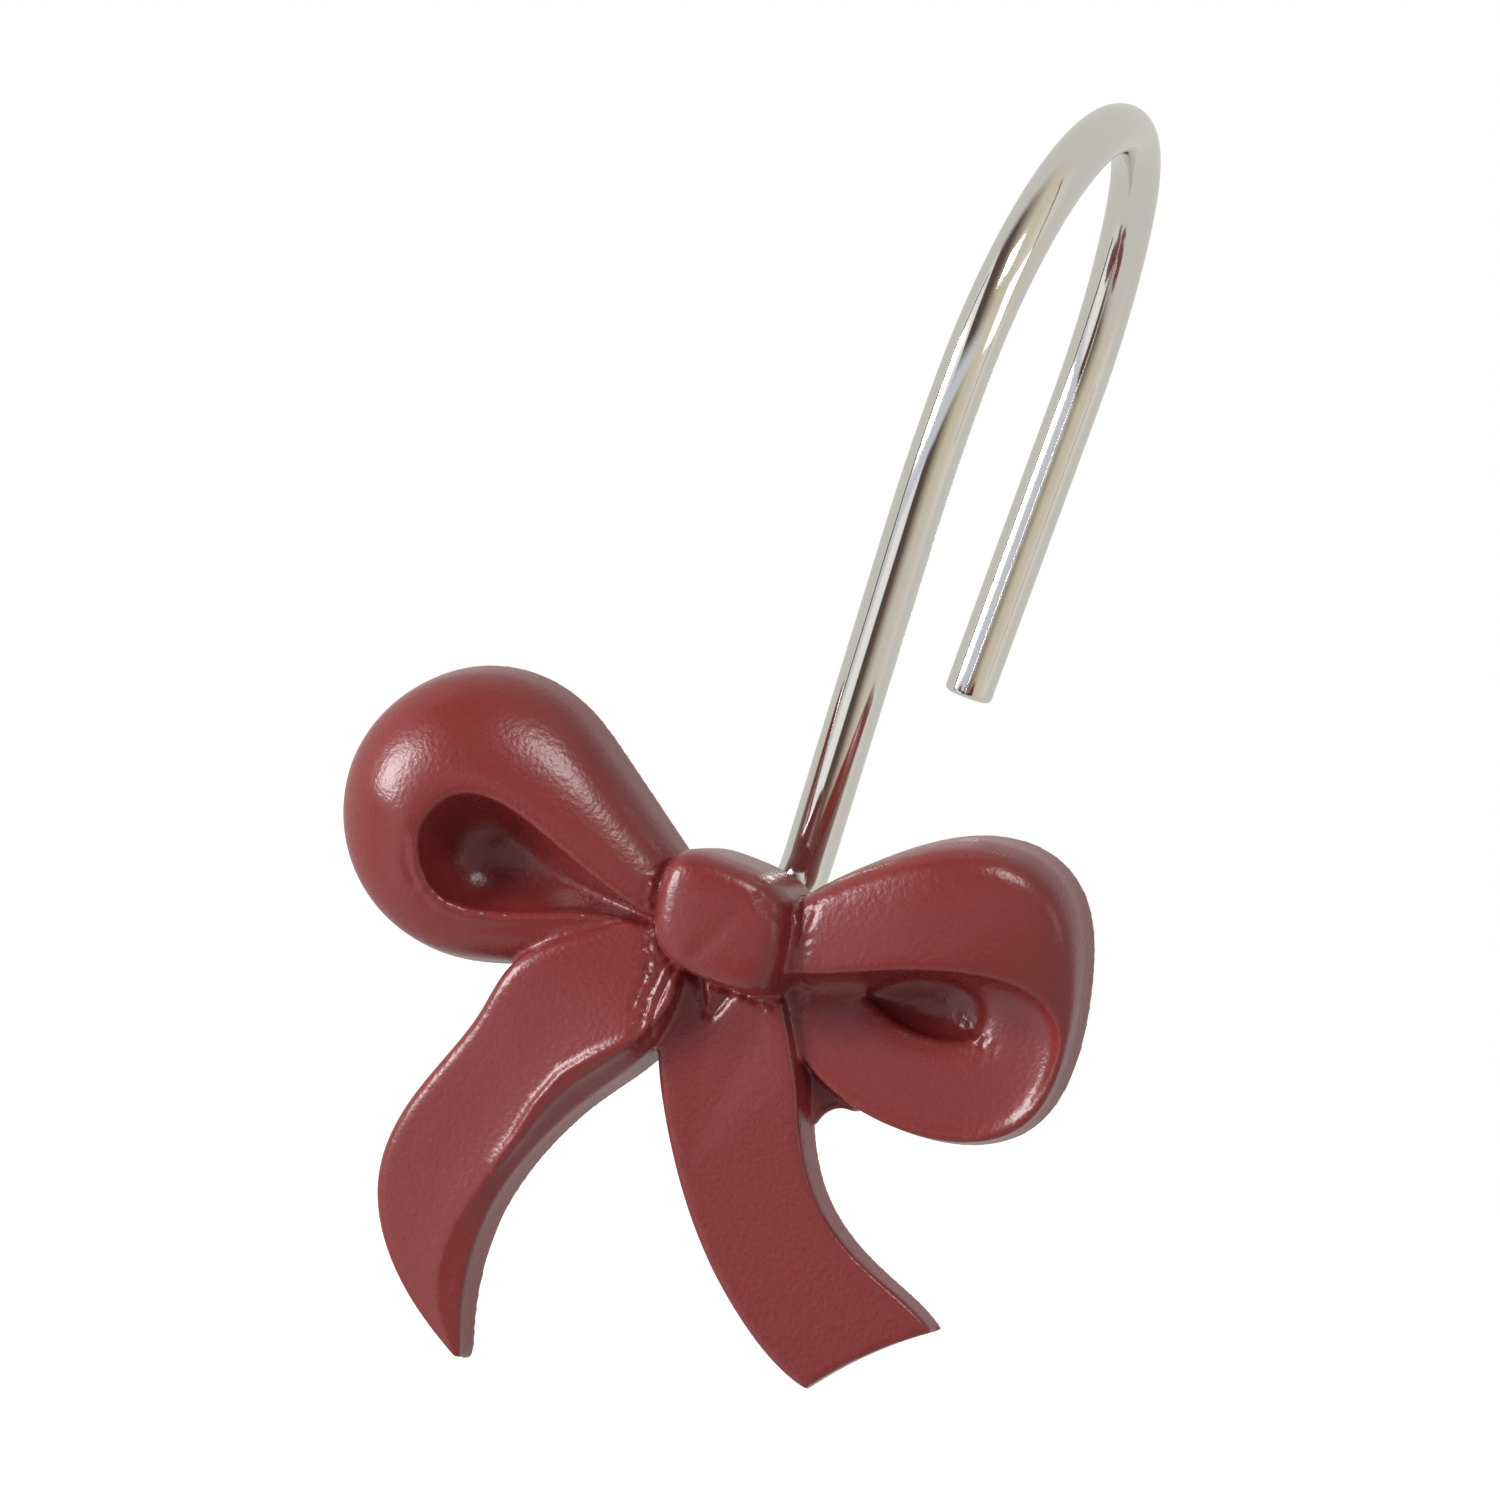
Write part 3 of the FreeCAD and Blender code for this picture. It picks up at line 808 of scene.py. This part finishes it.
lamp("key", (-500, 190, 215), 2.6, 200, 220)
lamp("top", (80, 400, 430), 1.2, 170, 150)
lamp("fill", (460, 40, 330), 0.25, 260, 260)

# %% The world
WHITE, PALE, COOL, BEIGE = (1.0, 1.0, 1.0), (0.68, 0.68, 0.66), (0.66, 0.71, 0.8), (0.72, 0.67, 0.57)
AMBIENT, BACKDROP = (0.08, 0.08, 0.08), (0.8, 0.77, 0.74)
ROOM_STOPS = [
    (0.0, PALE), (0.05, WHITE), (0.18, (0.9, 0.94, 1.0)), (0.2, (0.09, 0.06, 0.05)),
    (0.34, (0.13, 0.09, 0.08)), (0.45, (0.36, 0.31, 0.24)), (0.62, (0.68, 0.62, 0.5)), (0.8, BEIGE),
    (0.9, (0.8, 0.78, 0.72)),
]
world = bpy.data.worlds.new("surround")
bpy.context.scene.world = world
world.use_nodes = True
sky, sky_links = world.node_tree.nodes, world.node_tree.links
looked_at = sky.new("ShaderNodeTexCoord").outputs["Generated"]


def along(axis, low, high):
    """How far the looked-at direction goes along an axis: 0 at low and 1 at high, both as cosines."""
    dot = sky.new("ShaderNodeVectorMath")
    dot.operation = "DOT_PRODUCT"
    dot.inputs[1].default_value = tuple(axis)
    sky_links.new(looked_at, dot.inputs[0])
    return mapped(sky, sky_links, dot.outputs["Value"], {"From Min": low, "From Max": high})


def mixed(share, first, second):
    """The first colour where the share is 0 and the second where it is 1."""
    mix = sky.new("ShaderNodeMixRGB")
    sky_links.new(share, mix.inputs["Fac"])
    for value, socket in ((first, mix.inputs["Color1"]), (second, mix.inputs["Color2"])):
        if isinstance(value, tuple):
            socket.default_value = (*value, 1)
        else:
            sky_links.new(value, socket)
    return mix.outputs["Color"]


ramp = sky.new("ShaderNodeValToRGB")
while len(ramp.color_ramp.elements) < len(ROOM_STOPS):
    ramp.color_ramp.elements.new(0.5)
for element, (spot, colour) in zip(ramp.color_ramp.elements, ROOM_STOPS):
    element.position = spot
    element.color = (*colour, 1)
sky_links.new(along(RIGHT, -1.0, 1.0), ramp.inputs["Fac"])
room = ramp.outputs["Color"]
low_room = mixed(along(RIGHT, 0.0, 0.3), COOL, BEIGE)
level_room = mixed(along(UP, 0.05, 0.3), low_room, room)
front_room = mixed(along(UP, -0.1, -0.17), level_room, room)
lower_room = mixed(along(UP, -0.55, -0.8), front_room, PALE)
reflected = mixed(along(BACK, -0.1, 0.2), PALE, lower_room)
surround = mixed(along(BACK, -0.1, 0.1), BACKDROP, AMBIENT)
ray = sky.new("ShaderNodeLightPath").outputs
seen = mixed(ray["Is Glossy Ray"], surround, reflected)
seen = mixed(ray["Is Transmission Ray"], seen, WHITE)
seen = mixed(ray["Is Camera Ray"], seen, WHITE)
sky_links.new(seen, sky["Background"].inputs["Color"])
sky["Background"].inputs["Strength"].default_value = 1.0

# %% Floor and cards
FLOOR_R, FLOOR_Z, FLOOR_LIFT = 1.2, -0.17, 0.8
FLOOR = {"Base Color": (0.85, 0.85, 0.85, 1), "Roughness": 0.8, "Specular IOR Level": 0.1,
         "Emission Color": (1, 1, 1, 1)}
CARD = {"Base Color": (0.02, 0.018, 0.016, 1), "Roughness": 0.9}
CARD_HEIGHT = 700

bpy.ops.mesh.primitive_circle_add(vertices=64, radius=FLOOR_R, fill_type="NGON", location=(0, 0, FLOOR_Z))
floor = bpy.context.object
floor.name = "floor"
pale, nodes, links, shader = new_finish("pale_floor", FLOOR)
camera_ray = nodes.new("ShaderNodeLightPath").outputs["Is Camera Ray"]
links.new(worked(nodes, links, "MULTIPLY", camera_ray, FLOOR_LIFT), shader.inputs["Emission Strength"])
floor.data.materials.append(pale)
floor.visible_glossy = False
dark = new_finish("dark_card", CARD)[0]


def card(name, where, width):
    """A dark upright card that faces the hook and is seen only in reflections."""
    x, y = width / 2, CARD_HEIGHT / 2
    piece = mesh_piece(name, ([(-x, -y, 0), (x, -y, 0), (x, y, 0), (-x, y, 0)], [[0, 1, 2, 3]]), MM)
    piece.location = studio_place(where)
    piece.rotation_euler = (piece.location - Vector(AIM * MM)).to_track_quat("Z", "Y").to_euler()
    piece.data.materials.append(dark)
    piece.visible_camera = False
    piece.visible_shadow = False
    piece.visible_diffuse = False


card("left_card", (-400, 60, 45), 35)
card("right_card", (380, 100, 150), 15)

bpy.context.scene.view_settings.view_transform = "Standard"
